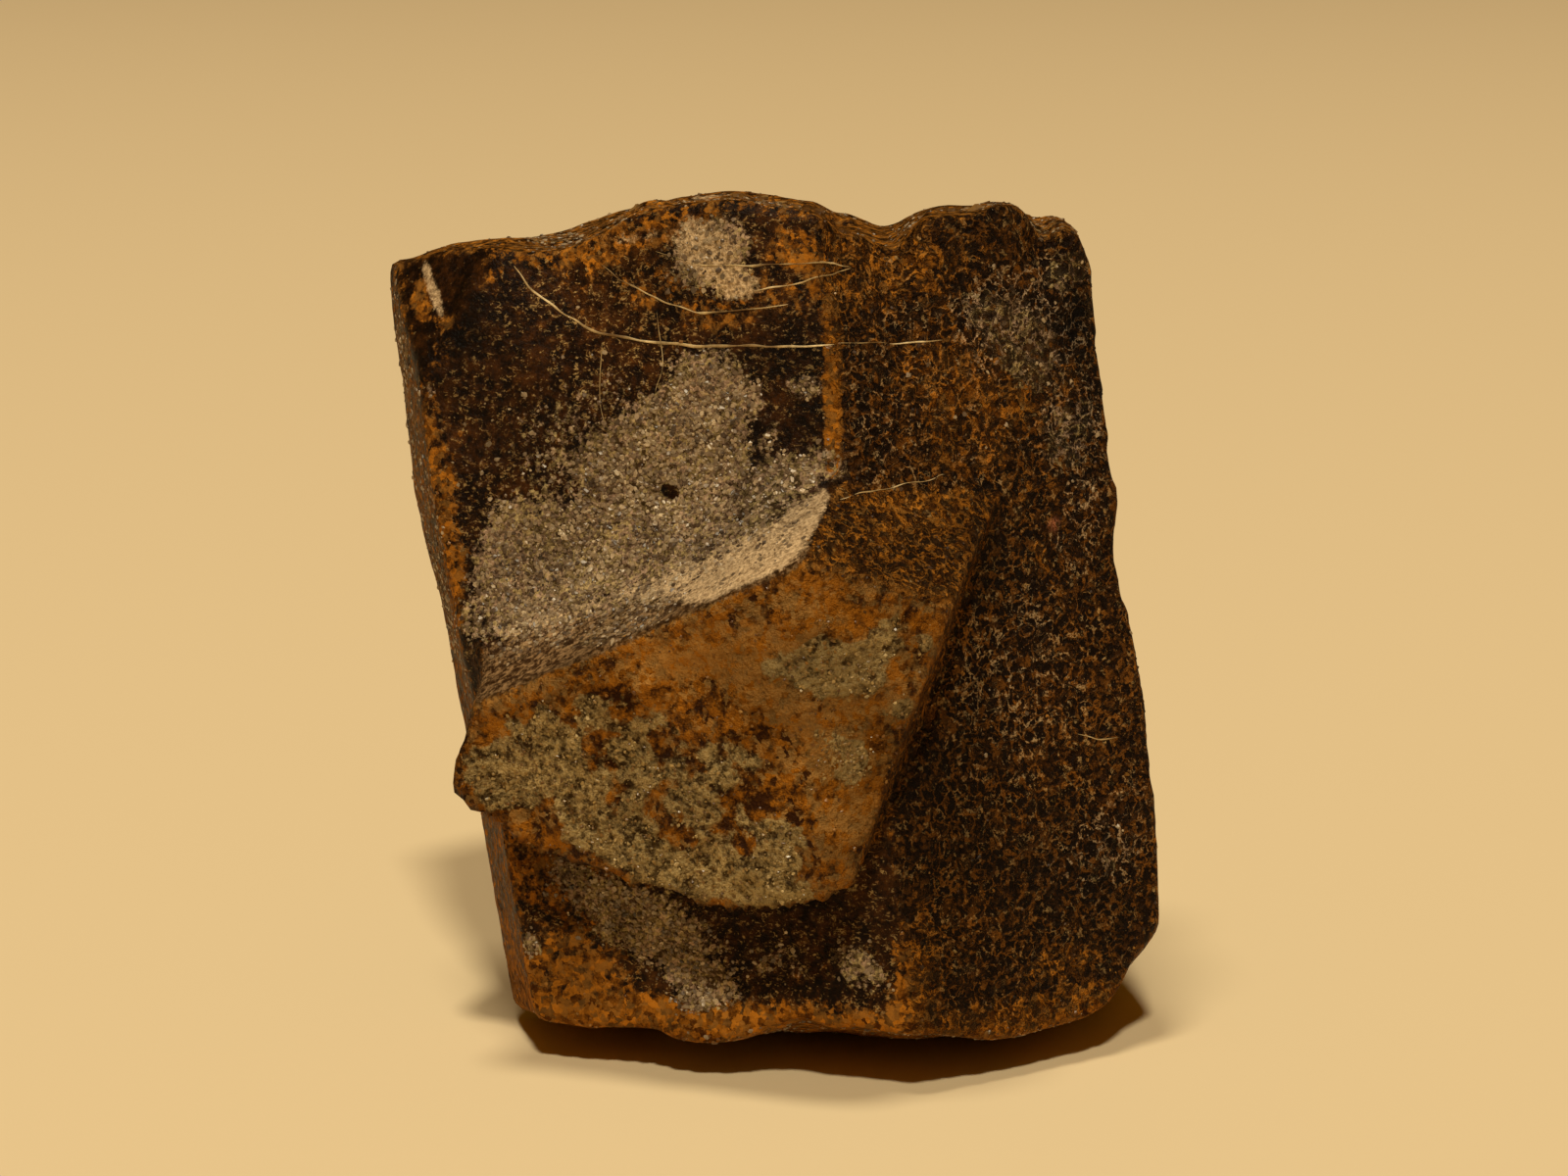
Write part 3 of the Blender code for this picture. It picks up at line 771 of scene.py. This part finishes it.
def stoneMaterial():
    # the bare stone first, then one cover after another laid over it by its share
    material, tree, shader = newMaterial("staurolite", look["dull"], look["specular"])
    share = functools.partial(attributeAt, tree)
    where = surfacePlace(tree)
    flat = surfacePlace(tree, texture["flecksStretch"])
    along = surfacePlace(tree, texture["streakStretch"], texture["streakSlope"])
    broad, middle, grainy, fine, tanNoise, tintNoise = [
        noiseAt(where, *texture[name])
        for name in ("broad", "middle", "grainy", "fine", "tan", "tint")]
    softWobble = wobbleAt(where, texture["softWobble"])
    sharpWobble = wobbleAt(where, texture["sharpWobble"])
    coarse, ends, grey = share("coarse"), share("ends"), share("grey")
    lighter, streaks = share("lighter"), share("streaks")

    # bare staurolite: nearly black to reddish brown
    colour = shaded("bare", 0.42, 0.66, middle, 0.5, broad, 0.25, grainy, 0.25)

    # small chips and curling threads on the smooth faces
    chip, chipEdge, _ = grainsAt(pushed(flat, sharpWobble, 0.28), texture["chips"])
    amount = share("flecks")
    chipMask = times(between(chip[0], 0.84, 0.87), between(chipEdge, 0.42, 0.30), amount)
    threadGate = between(plus(grainy, times(amount, 0.14)), 0.60, 0.66)
    threadMask = times(threadsAt(flat, *texture["flecks"]), threadGate)
    fleckMask = calculate("MAXIMUM", times(chipMask, 0.75), threadMask)
    fleckColour = shaded("fleck", 0.40, 0.66, fine, 0.5, grainy, 0.3, chip[1], 0.2)
    colour = blend(times(fleckMask, 0.64), colour, fleckColour)

    # grains a quarter of a millimetre across with uneven edges, which every cover below shares
    bodyPlace = pushed(pushed(where, softWobble, 0.6), sharpWobble, 0.26)
    body, bodyEdge, _ = grainsAt(bodyPlace, texture["body"])

    # rough faces: pits of half a millimetre and more, dark stone with painted shade in them, and
    # broken rims of other minerals
    pitPlace = pushed(pushed(where, softWobble, 1.2), sharpWobble, 0.36)
    border = bordersAt(pitPlace, between(broad, 0.48, 0.51, *texture["pits"]))
    inPit = between(plus(border, times(grainy, 0.3)), 0.21, 0.33)
    pitShade = weigh(body[2], 0.15, middle, 0.5, broad, 0.5)
    # pits painted near-black: dark stone and painted shade in them
    pitDarkAndShade = times(inPit, between(pitShade, 0.42, 0.54))
    massColour = shaded("mass", 0.32, 0.68, broad, 0.2, middle, 0.3, grainy, 0.15, body[0], 0.35)
    roughColour = blend(pitDarkAndShade, massColour, look["darkAndShadedPit"])
    rim = between(plus(border, times(fine, -0.22), times(grainy, -0.22)), -0.13, -0.20)
    rimGate = between(weigh(middle, 0.4, grainy, 0.3, body[1], 0.3, grey, 0.16), 0.54, 0.64)
    curl = threadsAt(where, *texture["curls"])
    curlGate = between(weigh(fine, 0.4, middle, 0.6), 0.54, 0.60)
    rimMask = calculate("MAXIMUM", times(rim, rimGate), times(curl, curlGate))
    rimColour = blend(between(broad, 0.45, 0.55), look["orangeRim"], look["oliveRim"])
    creamShare = between(weigh(fine, 0.7, body[1], 0.3), 0.45, 0.62)
    rimColour = blend(creamShare, rimColour, look["creamRim"])
    rimColour = blend(times(grey, 0.8), rimColour, look["greyRim"])
    rimStrength = calculate("MULTIPLY_ADD", grey, 0.50, 0.45)
    roughColour = blend(times(rimMask, rimStrength), roughColour, rimColour)
    pebble = times(between(body[2], 0.955, 0.975), between(bodyEdge, 0.46, 0.34))
    pebbleColour = blend(body[1], look["orangeRim"], look["creamRim"])
    roughColour = blend(times(pebble, 0.8), roughColour, pebbleColour)
    colour = blend(coarse, colour, roughColour)

    # iron stain, with a painted orange highlight along the edges and the foot
    rustNoise = weigh(middle, 0.40, grainy, 0.42, body[0], 0.18)
    rustMask = spread(share("rust"), rustNoise, 0.10, 0.60)
    rustMask = times(rustMask, without(times(coarse, pitDarkAndShade, 0.9)))
    rustColour = shaded("rust", 0.34, 0.68, middle, 0.35, grainy, 0.40, body[1], 0.25)
    oliveShare = between(weigh(body[2], 0.45, middle, 0.55), 0.48, 0.62)
    rustColour = blend(times(oliveShare, 0.55), rustColour, look["oliveStain"])
    colour = blend(times(rustMask, 0.9), colour, rustColour)

    # the broken end: clear brown to orange, and tan in places
    endColour = shaded("endBrown", 0.40, 0.59, broad, 0.25, middle, 0.40, grainy, 0.25,
                       body[0], 0.10, lighter, 0.05)
    tanShade = weigh(tanNoise, 0.75, body[1], 0.25, lighter, 0.12)
    endColour = blend(times(between(tanShade, 0.46, 0.60), 0.55), endColour, look["endTan"])
    colour = blend(ends, colour, endColour)

    # crust of mica and quartz: grains of different grey, some yellower, with dark gaps
    crustPlace = pushed(where, sharpWobble, 0.15)
    crustScale = plus(texture["crust"], times(coarse, -2.0))
    grain, grainEdge, grainLean = grainsAt(crustPlace, crustScale)
    speck = grainsAt(crustPlace, texture["specks"])[0]
    crustNoise = weigh(grainy, 0.45, middle, 0.35, grain[2], 0.20)
    crustMask = spread(share("crust"), crustNoise, 0.05, 0.60)
    crustMask = times(crustMask, without(times(coarse, inPit, 0.92)), without(ends))
    crustColour = shaded("crust", 0.58, 1.06, grain[0], 0.22, speck[0], 0.16, grainy, 0.45,
                         middle, 0.45, broad, 0.25)
    crustTint = shaded("crustTint", 0.36, 0.64, grain[1], 0.45, tintNoise, 0.55)
    crustColour = blend(0.5, crustColour, crustTint, "MULTIPLY")
    colour = blend(times(crustMask, 0.95), colour, crustColour)

    # sugary clumps on the broken end, fading into the brown
    clumpNoise = weigh(middle, 0.40, grainy, 0.42, body[2], 0.18)
    clumpMask = times(spread(share("clumps"), clumpNoise, 0.11, 0.50), ends)
    clumpColour = shaded("clump", 0.39, 0.61, body[0], 0.12, grainy, 0.40, middle, 0.40,
                         grain[0], 0.08, calculate("MAXIMUM", lighter, 0.0), 0.07)
    colour = blend(times(clumpMask, 0.88), colour, clumpColour)

    # foliated streaks along the hollow, then the bright band over them
    streakNoise = noiseAt(along, *texture["streak"])
    streakShade = weigh(streakNoise, 0.65, grain[0], 0.10, grainy, 0.25)
    streakColour = blend(between(streakShade, 0.44, 0.60), *look["streak"])
    colour = blend(times(spread(streaks, fine, 0.12, 1.0), 0.8), colour, streakColour)
    # the pale cover also holds the painted highlight on the chip wall at the top left
    paleMask = spread(share("pale"), weigh(streakShade, 0.6, grainy, 0.4), 0.14, 0.8)
    drawn = times(streaks, 0.8)
    streaky = weigh(streakNoise, drawn, grainy, without(drawn))
    paleColour = shaded("pale", 0.36, 0.62, fine, 0.4, streaky, 0.6)
    colour = blend(times(paleMask, 0.92), colour, paleColour)
    colour = blend(share("pinkGrain"), colour, look["pink"])

    # broad lighter and darker areas at random, and painted shade where the bare patches lie
    tone = between(share("tone"), 0.0, 1.0, look["toneDark"], look["toneLight"], "LINEAR")
    tone = times(tone, calculate("MULTIPLY_ADD", share("bare"), -0.6, 1.0))
    tree.links.new(vectorMath("SCALE", colour, Scale=tone), shader.inputs["Base Color"])

    # dull where it is covered
    covered = calculate("MAXIMUM", crustMask, rustMask)
    dullness = calculate("MAXIMUM", covered, times(coarse, 0.5))
    rough = between(dullness, 0.0, 1.0, look["polish"], look["dull"], "LINEAR")
    tree.links.new(rough, shader.inputs["Roughness"])

    # relief finer than the mesh, heights in millimetres
    crustHeight = plus(weigh(grain[0], 0.04, grainEdge, -0.03), 0.05)
    roughHeight = weigh(inPit, -0.30, rim, 0.03, pebble, 0.10, middle, 0.6)
    endHeight = weigh(middle, 1.2, grainy, 0.35, clumpMask, 0.12, body[0], 0.05)
    height = weigh(crustMask, crustHeight, fine, 0.04, grainy, 0.10, body[0], 0.03,
                   coarse, roughHeight, ends, endHeight)

    # each grain of mica faces its own way, so a few of them catch the light
    lean = vectorMath("SUBTRACT", grainLean, (0.5, 0.5, 0.5))
    lean = vectorMath("SCALE", lean, Scale=times(crustMask, 0.5))
    outward = addNode(tree, "NewGeometry", {}).outputs["Normal"]
    leaned = vectorMath("NORMALIZE", vectorMath("ADD", outward, lean))
    relieved = addNode(tree, "Bump", {"Height": height, "Distance": mm, "Strength": 1.0,
                                      "Normal": leaned})
    tree.links.new(relieved.outputs[0], shader.inputs["Normal"])
    return material


# Loose grains stuck to the surface. Size is across in millimetres; thick, lean and sunk are shares
# of it. The colours go from one end of a grain's hue to the other, and byPlace says how much of
# that hue is shared with its neighbours.
grains = {
    "micaGrains": {
        "count": 8500, "size": (0.11, 0.3), "thick": 0.4, "lean": 0.55, "sunk": 0.18, "seed": 3,
        "byPlace": 0.35, "roughness": 0.34, "specular": 0.5,
        "colours": [(0.0, (0.022, 0.012, 0.006)), (0.28, (0.1, 0.063, 0.038)),
                    (0.55, (0.25, 0.18, 0.11)), (0.85, (0.36, 0.27, 0.168)),
                    (1.0, (0.56, 0.45, 0.3))],
    },
    "sugarGrains": {
        "count": 1800, "size": (0.07, 0.22), "thick": 0.5, "lean": 0.6, "sunk": 0.35, "seed": 5,
        "byPlace": 0.5, "roughness": 0.3, "specular": 0.5,
        "colours": [(0.0, (0.06, 0.023, 0.003)), (0.3, (0.15, 0.075, 0.016)),
                    (0.62, (0.26, 0.165, 0.055)), (0.85, (0.36, 0.255, 0.11)),
                    (1.0, (0.56, 0.44, 0.24))],
    },
    "roughChips": {
        "count": 4200, "size": (0.07, 0.26), "thick": 0.5, "lean": 0.6, "sunk": 0.36, "seed": 7,
        "byPlace": 0.3, "roughness": 0.5, "specular": 0.2,
        "colours": [(0.0, (0.0075, 0.0026, 0.0005)), (0.5, (0.034, 0.0125, 0.002)),
                    (0.76, (0.08, 0.033, 0.005)), (0.9, (0.18, 0.075, 0.009)),
                    (0.97, (0.2, 0.12, 0.03)), (1.0, (0.36, 0.245, 0.11))],
    },
    "amberChips": {
        "count": 1600, "size": (0.07, 0.22), "thick": 0.5, "lean": 0.6, "sunk": 0.35, "seed": 9,
        "byPlace": 0.5, "roughness": 0.35, "specular": 0.4,
        "colours": [(0.0, (0.04, 0.012, 0.001)), (0.35, (0.12, 0.043, 0.004)),
                    (0.6, (0.2, 0.082, 0.01)), (0.85, (0.28, 0.13, 0.022)),
                    (1.0, (0.38, 0.23, 0.08))],
    },
    "crestKnobs": {
        "count": 60, "size": (0.25, 0.8), "thick": 0.75, "lean": 0.5, "sunk": 0.45, "seed": 15,
        "byPlace": 0.3, "roughness": 0.5, "specular": 0.25,
        "colours": [(0.0, (0.05, 0.018, 0.002)), (0.6, (0.13, 0.055, 0.009)),
                    (1.0, (0.24, 0.14, 0.045))],
    },
}


flake = {"corners": 6, "topSize": 0.72, "cornerShift": 0.22, "longer": 0.5}


def ringWall(rings, corners):
    # two triangles between each pair of neighbouring points of rings that follow each other
    ring, k = np.meshgrid(np.arange(rings - 1) * corners, np.arange(corners), indexing="ij")
    a, b = (ring + k).ravel(), (ring + (k + 1) % corners).ravel()
    return np.concatenate([np.stack([a, b, b + corners], axis=1),
                           np.stack([a, b + corners, a + corners], axis=1)])


def flakeShape():
    # a six-cornered plate: two rings of six places round the middle, the upper one smaller
    count = flake["corners"]
    turn = np.arange(count) * 2 * math.pi / count
    ring = np.stack([np.cos(turn), np.sin(turn)], axis=1)
    low = np.column_stack([ring, np.full(count, -1.0)])
    high = np.column_stack([ring * flake["topSize"], np.full(count, 1.0)])
    k = np.arange(1, count - 1)
    fan = np.stack([np.zeros(count - 2, int), k, k + 1], axis=1)
    faces = np.concatenate([ringWall(2, count), fan[:, ::-1], fan + count])
    return np.concatenate([low, high]), faces


def scatter(name, points, quads, normals, weight):
    # grains at random places of the quads, as often as their area times the weight says: each is
    # the flake with its corners moved a little, turned at random, leaned over and sunk in
    plan = grains[name]
    chance = np.random.default_rng(plan["seed"])
    count = plan["count"]
    corners = points[quads]
    across, down = corners[:, 2] - corners[:, 0], corners[:, 3] - corners[:, 1]
    area = np.linalg.norm(np.cross(across, down), axis=1)
    odds = area * np.clip(weight[quads].mean(axis=1), 0.0, None)
    pick = chance.choice(len(quads), count, p=odds / odds.sum())
    u, v = chance.random((2, count, 1))
    first, second, third, fourth = corners[pick].transpose(1, 0, 2)
    place = (first * (1 - u) + second * u) * (1 - v) + (fourth * (1 - u) + third * u) * v
    outward = normals[quads[pick]].mean(axis=1)
    outward = unit(outward + plan["lean"] * 0.5 * chance.standard_normal((count, 3)))
    long = unit(np.cross(outward, chance.standard_normal((count, 3))))
    wide = np.cross(outward, long)
    small, large = plan["size"]
    size = 0.5 * (small + (large - small) * chance.random((count, 1)) ** 2.0)
    long = long * (1.0 + flake["longer"] * chance.random((count, 1)))
    shape, faces = flakeShape()
    shift = flake["cornerShift"]
    shapes = (shape + chance.uniform(-shift, shift, (count, *shape.shape))) * size[:, :, None]
    height = shapes[:, :, 2:3] * plan["thick"] - plan["sunk"] * size[:, :, None]
    grainPoints = (place[:, None] + shapes[:, :, 0:1] * long[:, None]
                   + shapes[:, :, 1:2] * wide[:, None] + height * outward[:, None])
    grainPoints[:, :, 2] = np.maximum(grainPoints[:, :, 2], 0.0)
    grainFaces = (faces + np.arange(count)[:, None, None] * len(shape)).reshape(-1, 3)
    piece = writeStone(name, grainPoints.reshape(-1, 3), grainFaces, smooth=False)
    soft = np.clip(0.5 + 0.62 * roughness(place, 1.3, plan["seed"] + 300, 4), 0.0, 1.0)
    hue = (1 - plan["byPlace"]) * chance.random(count) + plan["byPlace"] * soft
    addAttribute(piece, "hue", np.repeat(hue, len(shape)))
    addAttribute(piece, "shade", np.repeat(chance.random(count), len(shape)))
    print(name + ":", count, "grains,", len(grainFaces), "triangles")
    return piece


# Pale veins that stand a little proud: places along each line, half its width, how ragged it is
veins = {
    "lines": [
        ([(-11.1, -3.9, 34.5), (-10.4, -4.3, 33.6), (-9.6, -4.6, 33.0), (-7.9, -5.5, 32.0),
          (-5.7, -6.4, 31.6), (-2.8, -7.3, 31.5), (0.0, -8.0, 31.6),
          (2.7, -8.6, 31.8)], 0.06, 0.45),
        ([(2.9, -8.4, 31.8), (5.2, -7.0, 31.6), (7.4, -5.8, 31.5)], 0.026, 0.8),
        ([(-7.4, -5.0, 34.8), (-6.2, -5.6, 34.0), (-4.5, -6.5, 33.2), (-2.8, -7.1, 32.9),
          (-0.8, -7.6, 33.1), (0.8, -8.0, 33.5)], 0.034, 0.9),
        ([(-4.9, -5.9, 35.4), (-3.0, -6.8, 34.9), (-1.1, -7.4, 35.0), (1.2, -7.6, 35.1),
          (3.5, -6.7, 34.9)], 0.03, 1.0),
        ([(-0.7, -7.6, 33.9), (1.4, -7.8, 34.3), (3.5, -6.7, 34.8)], 0.026, 1.0),
        ([(-7.0, -5.4, 31.3), (-7.3, -5.8, 29.6), (-7.1, -6.2, 28.0)], 0.016, 1.1),
        ([(-4.9, -6.5, 32.8), (-4.6, -6.9, 31.0), (-4.9, -7.1, 29.4)], 0.016, 1.1),
        ([(3.1, -10.9, 25.7), (5.6, -9.4, 26.0), (8.2, -8.0, 26.4)], 0.024, 1.0),
        ([(12.9, -5.6, 13.9), (14.2, -5.3, 13.6), (15.2, -5.0, 13.7)], 0.024, 1.0),
    ],
    "spacing": 0.16,  # millimetres between the rings of points
    "proud": 0.3,  # height as a share of half the width
    "lift": 0.012,  # millimetres off the stone
    "smoothing": 1.2,  # millimetres over which the corners of a line are rounded
    "waver": 0.09, "waverSize": 0.8,  # how far a line strays, and over what length
    "colours": [(0.0, (0.12, 0.062, 0.018)), (0.5, (0.42, 0.295, 0.135)),
                (1.0, (0.78, 0.62, 0.36))],
    "roughness": 0.5, "specular": 0.3,
}


def veinRings(line, halfWidth, ragged, seed):
    # rings of six points round a line that is laid on the stone: across it by half the width,
    # which swells and shrinks by a soft noise, and up by a share of that
    corners = np.array(line)
    length = np.concatenate([[0.0], np.cumsum(np.linalg.norm(np.diff(corners, axis=0), axis=1))])
    count = max(8, int(length[-1] / veins["spacing"]))
    share = np.linspace(0.0, length[-1], count)
    path = np.stack([np.interp(share, length, corners[:, k]) for k in range(3)], axis=1)
    for _ in range(int(veins["smoothing"] / veins["spacing"])):
        path[1:-1] = 0.25 * path[:-2] + 0.5 * path[1:-1] + 0.25 * path[2:]
    stray = [lumps(path, veins["waverSize"], seed + k) for k in range(3)]
    path += veins["waver"] * np.stack(stray, axis=1)
    path = settle(path, 6)
    normal = unit(valueAndSlope(path)[1])
    lift = fineHeight(path, coverShares(path, normal)) + veins["lift"]
    path = path + normal * lift[:, None]
    across = unit(np.cross(normal, np.gradient(path, axis=0)))
    taper = np.sin(np.linspace(0.0, math.pi, count)) ** 0.35
    swell = 0.85 + ragged * roughness(path, 0.7, seed + 9)
    width = halfWidth * np.clip(0.15 + taper * swell, 0.12, 2.0)[:, None, None]
    turn = (np.arange(6) * math.pi / 3)[None, :, None]
    rings = (path[:, None] + across[:, None] * np.cos(turn) * width
             + normal[:, None] * np.sin(turn) * width * veins["proud"])
    return np.concatenate([rings.reshape(-1, 3), path[:1], path[-1:]]), count


def veinFaces(count, first):
    # the walls between six-point rings, and a fan to the last two points at the ends
    k = np.arange(6)
    following, last = (k + 1) % 6, (count - 1) * 6
    near = np.stack([np.full(6, count * 6), following, k], axis=1)
    far = np.stack([np.full(6, count * 6 + 1), k + last, following + last], axis=1)
    return np.concatenate([ringWall(count, 6), near, far]) + first


def makeVeins():
    allPoints, allFaces, first = [], [], 0
    for number, (line, halfWidth, ragged) in enumerate(veins["lines"]):
        ringPoints, count = veinRings(line, halfWidth, ragged, 201 + 20 * number)
        allPoints.append(ringPoints)
        allFaces.append(veinFaces(count, first))
        first += len(ringPoints)
    allPoints, allFaces = np.concatenate(allPoints), np.concatenate(allFaces)
    made = writeStone("veins", allPoints, allFaces)
    addAttribute(made, "hue", 0.5 + 0.5 * roughness(allPoints, 1.1, 501))
    addAttribute(made, "shade", 0.5 + 0.5 * lumps(allPoints, 0.4, 507))
    print("veins:", len(veins["lines"]), "lines,", len(allFaces), "triangles")
    return made


def grainMaterial(name, plan):
    # colour by the grain's hue, darkened by its shade and by soft clouds
    material, tree, shader = newMaterial(name, plan["roughness"], plan["specular"])
    ramp = addNode(tree, "ValToRGB", {"Fac": attributeAt(tree, "hue")})
    elements = ramp.color_ramp.elements
    for place, colour in plan["colours"]:
        made = elements.new(place) if 0.0 < place < 1.0 else elements[0 if place == 0.0 else -1]
        made.color = (*colour, 1.0)
    clouds = noiseAt(surfacePlace(tree), 5.0, 3.0, 0.7)
    bright = weigh(attributeAt(tree, "shade"), 0.6, clouds, 1.4)
    tinted = vectorMath("SCALE", ramp.outputs[0], Scale=bright)
    tree.links.new(tinted, shader.inputs["Base Color"])
    return material


def grainWeights(points, normals, cover):
    # how often each kind of grain is found at each point, from the covers and the place
    x, z = points[:, 0], points[:, 2]
    crust, coarse, ends = cover["crust"], cover["coarse"], cover["ends"]
    crusty = crust**2.6 * (1 - 0.96 * coarse) + 0.02 * cover["grey"] ** 2
    quartz = smoothStep(29.0, 32.0, z) * cover["pale"]
    glints = np.exp(-((x - 3.1) / 0.8) ** 2 - ((z - 15.4) / 0.6) ** 2)
    foot = smoothStep(4.2, 2.4, z) * (normals[:, 1] < 0.3)
    crest = smoothStep(0.5, 0.8, normals[:, 2]) * smoothStep(35.5, 36.3, z)
    bare = coarse * (1 - cover["bare"])
    brown = ends * (1 - cover["clumps"]) * (0.15 + cover["rust"])
    return {
        "micaGrains": crusty * (1 - ends) * (1 - 0.85 * quartz),
        "sugarGrains": cover["clumps"] ** 1.5 + 5 * ends * glints,
        "roughChips": bare + 0.06 * cover["flecks"] * (1 - crust) ** 3,
        "amberChips": brown + 0.25 * cover["edges"] + 0.5 * foot,
        "crestKnobs": crest * (np.exp(-((x - 1.9) / 1.3) ** 2) + 0.12),
    }


def finish(piece, material):
    piece.data.materials.clear()
    piece.data.materials.append(material)
    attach(piece, "root")


piece, points, quads, normals, cover = makeCrystal()
finish(piece, stoneMaterial())
for name, weight in grainWeights(points, normals, cover).items():
    finish(scatter(name, points, quads, normals, weight), grainMaterial(name, grains[name]))
finish(makeVeins(), grainMaterial("veins", veins))


studio = {
    "paper": (0.80, 0.655, 0.43), "paperRoughness": 0.75, "paperSpecular": 0.2,
    "floorReach": 3.0,  # metres from the middle
    "lightColour": (1.0, 0.885, 0.643),
    "lightAim": (0.0, 0.0, 0.015),
    "keyPlace": (-0.25, -0.22, 1.95), "keySize": 0.44, "keyPower": 17.2,
    "fillPlace": (0.03, -1.14, 1.68), "fillSize": 0.20, "fillPower": 23.5,
    "roomColour": (1.0, 0.43, 0.03), "roomStrength": 0.11,
}
view = {
    "elevation": 12.0, "distance": 0.195, "target": (0.000454, -0.00104, 0.0196),
    "lens": 100.0, "sensor": 36.0, "nearest": 0.005, "furthest": 20.0,
}


def makeFloor():
    # a flat sheet of paper: a grid of places along X and Y at height nought
    side = np.linspace(-studio["floorReach"], studio["floorReach"], 13)
    x, y = np.meshgrid(side, side, indexing="ij")
    points = np.stack([x.ravel(), y.ravel(), np.zeros(x.size)], axis=1) / mm
    count = len(side)
    row, column = np.meshgrid(np.arange(count - 1), np.arange(count - 1), indexing="ij")
    first = (row * count + column).ravel()
    quads = np.stack([first, first + count, first + count + 1, first + 1], axis=1)
    floor = writeMesh("floor", points, quads)
    material, _, shader = newMaterial("pale paper", studio["paperRoughness"],
                                      studio["paperSpecular"])
    shader.inputs["Base Color"].default_value = (*studio["paper"], 1.0)
    floor.data.materials.append(material)


def makeLight(name, place, size, power):
    data = bpy.data.lights.new(name, "AREA")
    data.shape = "DISK"
    data.size = size
    data.energy = power
    data.color = studio["lightColour"]
    light = addObject(name, data)
    light.location = place
    aim = Vector(studio["lightAim"]) - Vector(place)
    light.rotation_euler = aim.to_track_quat("-Z", "Y").to_euler()


def makeRoom():
    world = bpy.data.worlds.new("room")
    world.use_nodes = True
    background = world.node_tree.nodes["Background"]
    background.inputs["Color"].default_value = (*studio["roomColour"], 1.0)
    background.inputs["Strength"].default_value = studio["roomStrength"]
    bpy.context.scene.world = world


def makeCamera():
    # the camera looks along +Y and down, square to the front of the crystal
    data = bpy.data.cameras.new("camera")
    data.lens = view["lens"]
    data.sensor_width = view["sensor"]
    data.clip_start = view["nearest"]
    data.clip_end = view["furthest"]
    camera = addObject("camera", data)
    dip = math.radians(view["elevation"])
    away = Vector((0.0, -math.cos(dip), math.sin(dip))) * view["distance"]
    camera.location = Vector(view["target"]) + away
    camera.rotation_euler = (math.pi / 2 - dip, 0.0, 0.0)
    bpy.context.scene.camera = camera


makeFloor()
makeLight("key", studio["keyPlace"], studio["keySize"], studio["keyPower"])
makeLight("fill", studio["fillPlace"], studio["fillSize"], studio["fillPower"])
makeRoom()
makeCamera()
bpy.context.scene.view_settings.view_transform = "Standard"
print("floor, lights and camera are in place")
